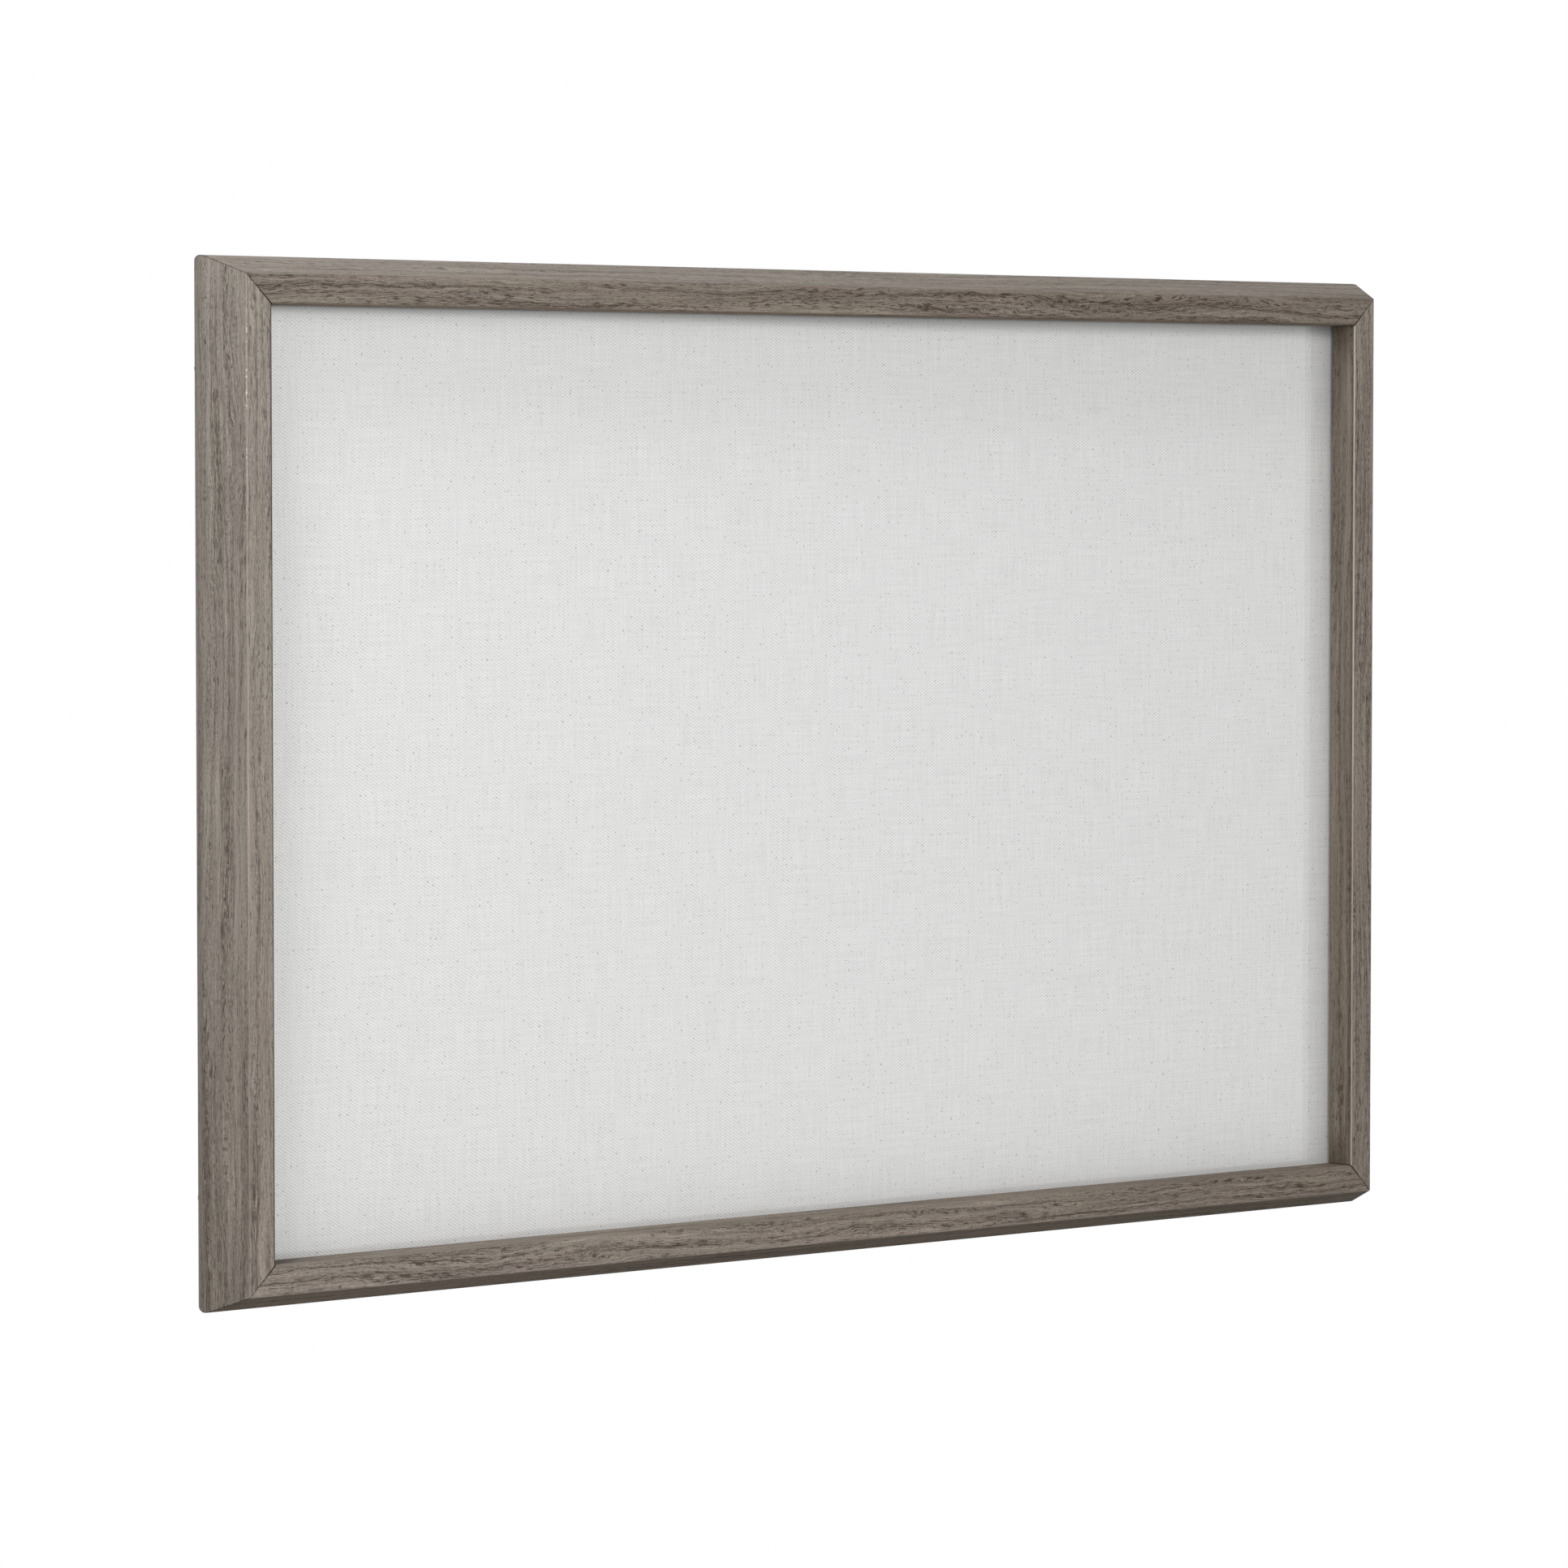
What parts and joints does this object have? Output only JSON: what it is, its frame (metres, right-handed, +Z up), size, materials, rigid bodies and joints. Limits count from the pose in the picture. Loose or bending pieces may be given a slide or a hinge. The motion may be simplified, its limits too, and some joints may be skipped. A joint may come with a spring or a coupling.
{
  "type": "glass dry erase board",
  "caption": "Wall-hung glass writing board: a clear pane over pale linen in a deep, flared wood-grain frame, held by turn buttons and hung on ring straps.",
  "frame": {"origin": "centre of the board on the wall plane, which is the plane of the bumper pads' rear faces", "axes": "+X right and +Z up as seen from the front, +Y from the front through the board to the wall"},
  "size_m": [0.762, 0.0425, 0.508],
  "materials": {
    "moulding": "satin grey-brown wood-grain foil",
    "nail_steel": "bare spring steel",
    "glass": "clear tempered glass with ground edges",
    "linen": "plain-weave linen",
    "fibreboard": "soft fibreboard",
    "hardboard": "smooth hardboard",
    "zinc_plate": "bright zinc-plated steel",
    "screw_steel": "zinc-plated steel",
    "pad_rubber": "matte black rubber"
  },
  "bodies": {
    "board": {"top_rail": "moulding", "bottom_rail": "moulding", "left_stile": "moulding", "right_stile": "moulding", "top_left_v_nail": "nail_steel", "top_right_v_nail": "nail_steel", "bottom_left_v_nail": "nail_steel", "bottom_right_v_nail": "nail_steel", "glass_panel": "glass", "linen_cover": "linen", "core_board": "fibreboard", "back_panel": "hardboard", "top_rail_left_button_screw": "screw_steel", "top_rail_right_button_screw": "screw_steel", "bottom_rail_left_button_screw": "screw_steel", "bottom_rail_right_button_screw": "screw_steel", "left_stile_upper_button_screw": "screw_steel", "left_stile_lower_button_screw": "screw_steel", "right_stile_upper_button_screw": "screw_steel", "right_stile_lower_button_screw": "screw_steel", "left_strap": "zinc_plate", "right_strap": "zinc_plate", "left_strap_upper_screw": "screw_steel", "left_strap_lower_screw": "screw_steel", "right_strap_upper_screw": "screw_steel", "right_strap_lower_screw": "screw_steel", "left_stile_upper_pad": "pad_rubber", "left_stile_lower_pad": "pad_rubber", "right_stile_upper_pad": "pad_rubber", "right_stile_lower_pad": "pad_rubber"},
    "left_ring": {"left_ring": "zinc_plate"},
    "right_ring": {"right_ring": "zinc_plate"},
    "top_rail_left_button": {"top_rail_left_button": "zinc_plate"},
    "top_rail_right_button": {"top_rail_right_button": "zinc_plate"},
    "bottom_rail_left_button": {"bottom_rail_left_button": "zinc_plate"},
    "bottom_rail_right_button": {"bottom_rail_right_button": "zinc_plate"},
    "left_stile_upper_button": {"left_stile_upper_button": "zinc_plate"},
    "left_stile_lower_button": {"left_stile_lower_button": "zinc_plate"},
    "right_stile_upper_button": {"right_stile_upper_button": "zinc_plate"},
    "right_stile_lower_button": {"right_stile_lower_button": "zinc_plate"}
  },
  "joints": [
    {"name": "left_ring_swing", "type": "hinge", "parent": "board", "child": "left_ring", "pos_m": [-0.36842, -0.0028, 0.08007], "axis": [1, 0, 0], "range_deg": [0, 180]},
    {"name": "right_ring_swing", "type": "hinge", "parent": "board", "child": "right_ring", "pos_m": [0.36842, -0.0028, 0.08007], "axis": [1, 0, 0], "range_deg": [0, 180]},
    {"name": "top_rail_left_button_turn", "type": "hinge", "parent": "board", "child": "top_rail_left_button", "pos_m": [-0.19007, -0.0044, 0.24302], "axis": [0, 1, 0], "continuous": true},
    {"name": "top_rail_right_button_turn", "type": "hinge", "parent": "board", "child": "top_rail_right_button", "pos_m": [0.19007, -0.0044, 0.24302], "axis": [0, 1, 0], "continuous": true},
    {"name": "bottom_rail_left_button_turn", "type": "hinge", "parent": "board", "child": "bottom_rail_left_button", "pos_m": [-0.19007, -0.0044, -0.24302], "axis": [0, 1, 0], "continuous": true},
    {"name": "bottom_rail_right_button_turn", "type": "hinge", "parent": "board", "child": "bottom_rail_right_button", "pos_m": [0.19007, -0.0044, -0.24302], "axis": [0, 1, 0], "continuous": true},
    {"name": "left_stile_upper_button_turn", "type": "hinge", "parent": "board", "child": "left_stile_upper_button", "pos_m": [-0.37002, -0.0044, 0.12707], "axis": [0, 1, 0], "continuous": true},
    {"name": "left_stile_lower_button_turn", "type": "hinge", "parent": "board", "child": "left_stile_lower_button", "pos_m": [-0.37002, -0.0044, -0.12707], "axis": [0, 1, 0], "continuous": true},
    {"name": "right_stile_upper_button_turn", "type": "hinge", "parent": "board", "child": "right_stile_upper_button", "pos_m": [0.37002, -0.0044, 0.12707], "axis": [0, 1, 0], "continuous": true},
    {"name": "right_stile_lower_button_turn", "type": "hinge", "parent": "board", "child": "right_stile_lower_button", "pos_m": [0.37002, -0.0044, -0.12707], "axis": [0, 1, 0], "continuous": true}
  ]
}
